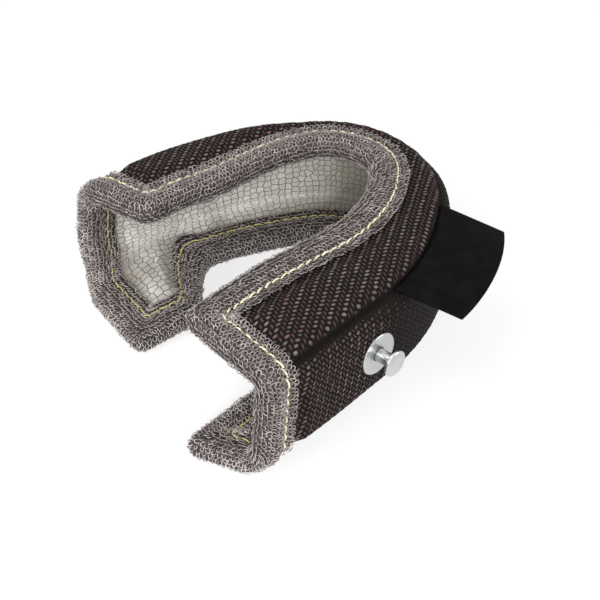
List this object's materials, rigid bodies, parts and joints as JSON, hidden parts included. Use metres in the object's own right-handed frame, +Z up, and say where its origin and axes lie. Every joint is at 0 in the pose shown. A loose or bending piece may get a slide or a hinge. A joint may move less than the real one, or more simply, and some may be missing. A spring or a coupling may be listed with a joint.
{
  "type": "wastegate heat blanket",
  "caption": "Padded U-shaped heat blanket for an external wastegate: twill cover, felt, knitted steel lining and bound edge, with lacing rivets and a side label.",
  "frame": {"origin": "middle of the footprint's bounding box, on the surface that the blanket stands on", "axes": "+Z up, out of the flange with the narrower opening edge; +X towards the closed end of the U"},
  "size_m": [0.175, 0.1712, 0.0519],
  "materials": {
    "twill": "matt basalt twill",
    "felt": "needled felt",
    "lining": "knitted wire mesh",
    "binding": "knitted wire mesh",
    "thread": "aramid thread",
    "label": "satin tape",
    "steel": "satin"
  },
  "bodies": {
    "root": {"outer_cover_top": "twill", "outer_cover_wall": "twill", "outer_cover_bottom": "twill", "felt_top": "felt", "felt_wall": "felt", "felt_bottom": "felt", "mesh_lining": "lining", "edge_binding": "binding", "outer_stitching": "thread", "inner_stitching": "thread", "side_label": "label", "left_rivet": "steel", "left_outer_washer": "steel", "left_inner_washer": "steel", "right_rivet": "steel", "right_outer_washer": "steel", "right_inner_washer": "steel"}
  },
  "joints": []
}
